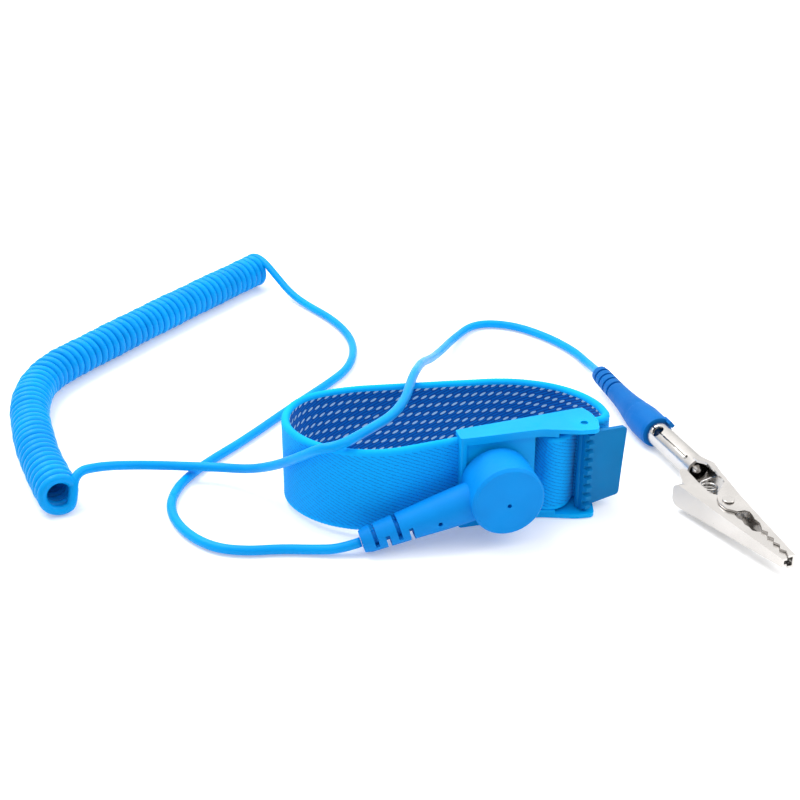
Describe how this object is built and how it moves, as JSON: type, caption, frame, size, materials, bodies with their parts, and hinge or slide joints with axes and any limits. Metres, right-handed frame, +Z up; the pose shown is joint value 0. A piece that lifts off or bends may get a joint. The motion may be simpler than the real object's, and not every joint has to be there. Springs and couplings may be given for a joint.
{
  "type": "esd wrist strap",
  "caption": "Elastic wrist band with a cam buckle, a snap cap on a coiled cord, and a banana plug carrying a pull-off crocodile clip.",
  "frame": {"origin": "on the table, at the centre of the wrist band assembly's outline (band, buckle, lever and snap cap, without the cord)", "axes": "+X along the buckle's face towards its cam lever, +Z up across the band's width, -Y out of the buckle towards the snap cap"},
  "size_m": [0.1576, 0.1911, 0.0267],
  "materials": {
    "band_fabric": "woven twill, bright blue outside, darker with silver conductive threads inside",
    "buckle_plastic": "smooth, slightly translucent",
    "cap_plastic": "moulded, satin",
    "insert_plastic": "plain, hidden",
    "boot_plastic": "moulded, satin",
    "cord_jacket": "smooth jacket",
    "nickel": "nickel plated",
    "stainless": "brushed",
    "spring_steel": "drawn wire",
    "resistor_coating": "lacquered",
    "copper": "tinned wire"
  },
  "bodies": {
    "root": {"elastic_band": "band_fabric", "buckle_frame": "buckle_plastic", "skin_contact_plate": "stainless", "stud_eyelet": "nickel", "snap_stud": "nickel", "cap_lead": "cord_jacket", "inner_lead": "cord_jacket", "coil": "cord_jacket", "outer_lead": "cord_jacket", "banana_boot": "boot_plastic", "boot_cord_core": "cord_jacket", "banana_pin": "nickel", "pin_springs": "nickel"},
    "clamp_lever": {"clamp_lever": "buckle_plastic"},
    "snap_cap": {"cap_overmould": "cap_plastic", "cap_insert": "insert_plastic", "snap_socket": "nickel", "socket_spring": "nickel", "socket_terminal": "nickel", "resistor_body": "resistor_coating", "resistor_leads": "copper", "cord_crimp": "nickel", "cap_cord_core": "cord_jacket"},
    "clip": {"clip_upper_jaw": "nickel", "clip_rivet": "nickel", "jaw_spring": "spring_steel"},
    "clip_jaw": {"clip_lower_jaw": "nickel"}
  },
  "joints": [
    {"name": "clamp_lever_hinge", "type": "hinge", "parent": "root", "child": "clamp_lever", "pos_m": [0.0269, -0.0123, 0.0112], "axis": [0, 0, -1], "range_deg": [0, 194]},
    {"name": "cap_swivel", "type": "hinge", "parent": "root", "child": "snap_cap", "pos_m": [0.0065, -0.0174, 0.0112], "axis": [0, 1, 0], "range_deg": [0, 60]},
    {"name": "clip_pull_off", "type": "slide", "parent": "root", "child": "clip", "axis": [0.0872, -0.9962, 0], "range_m": [0, 0.018]},
    {"name": "clip_jaw_hinge", "type": "hinge", "parent": "clip", "child": "clip_jaw", "pos_m": [0.05582, -0.02732, 0.0041], "axis": [0, 0, -1], "range_deg": [0, 20], "stiffness_Nm_per_rad": 0.12, "springref_deg": -20.05, "deforming": ["jaw_spring"]}
  ]
}
